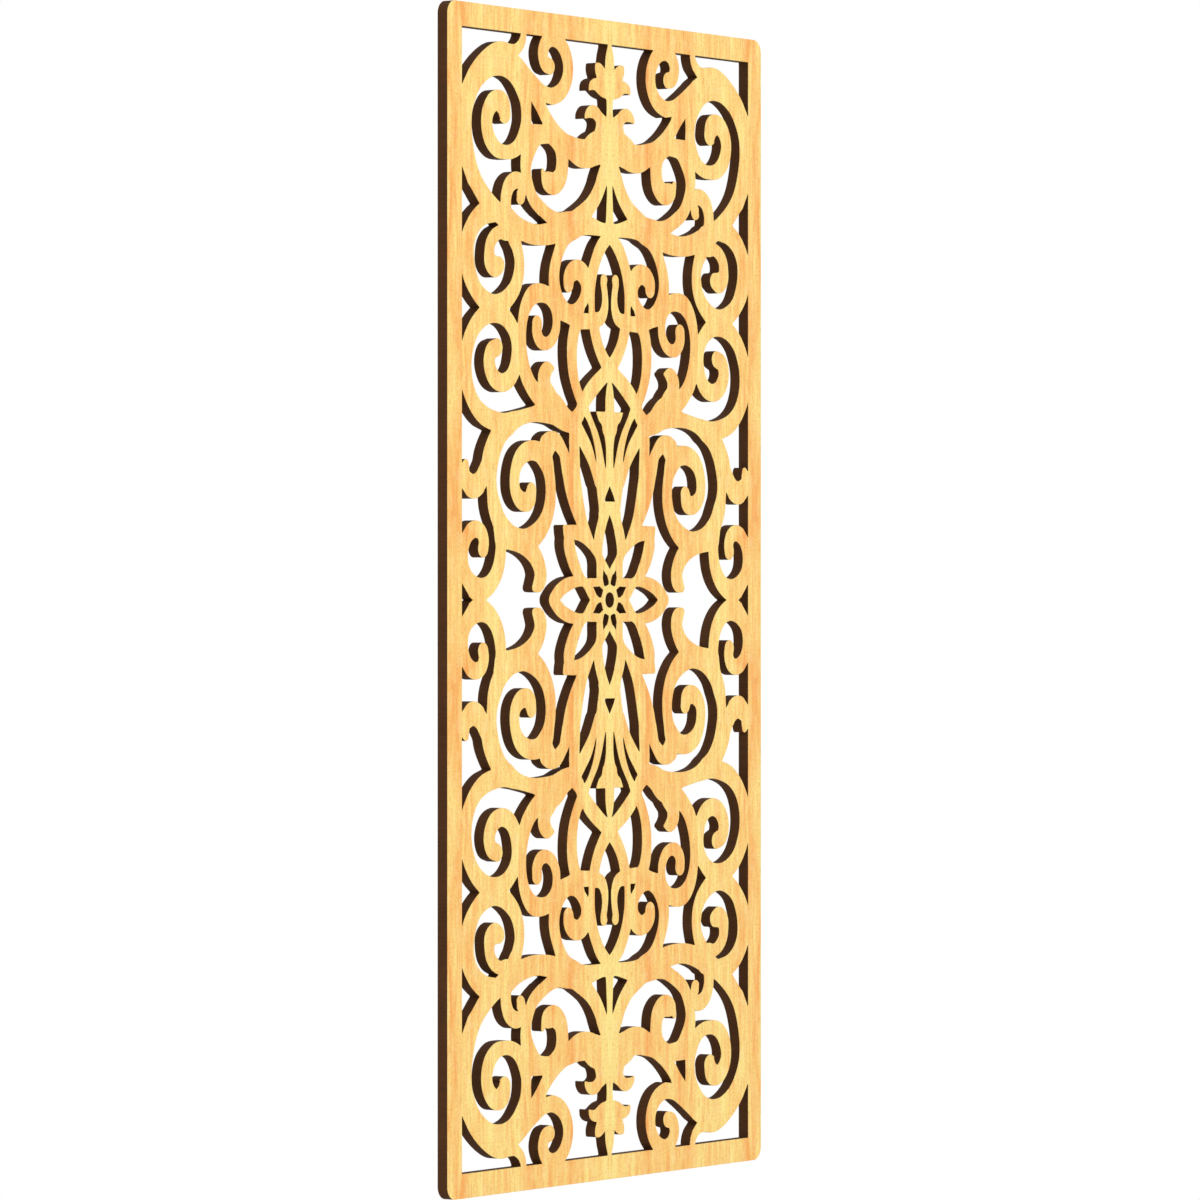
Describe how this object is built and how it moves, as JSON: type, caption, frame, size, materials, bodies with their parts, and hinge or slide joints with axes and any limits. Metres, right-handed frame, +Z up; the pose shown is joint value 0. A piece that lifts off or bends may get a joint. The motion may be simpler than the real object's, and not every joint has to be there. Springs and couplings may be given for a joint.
{
  "type": "fretwork grille",
  "caption": "Tall flat wooden fretwork grille, sawn through with mirrored scrolls, leaves and a central rosette inside a plain round-cornered border.",
  "frame": {"origin": "middle of the top rail's back face, where the grille is fastened", "axes": "+Z up the long side, +X along the width, and +Y out of the back; the show face looks towards -Y"},
  "size_m": [0.6, 0.013, 1.26],
  "materials": {
    "fretwork_board": "thin satin varnish on the show face, dark stain on the cut walls and sides"
  },
  "bodies": {
    "root": {"fretwork_board": "fretwork_board"}
  },
  "joints": []
}
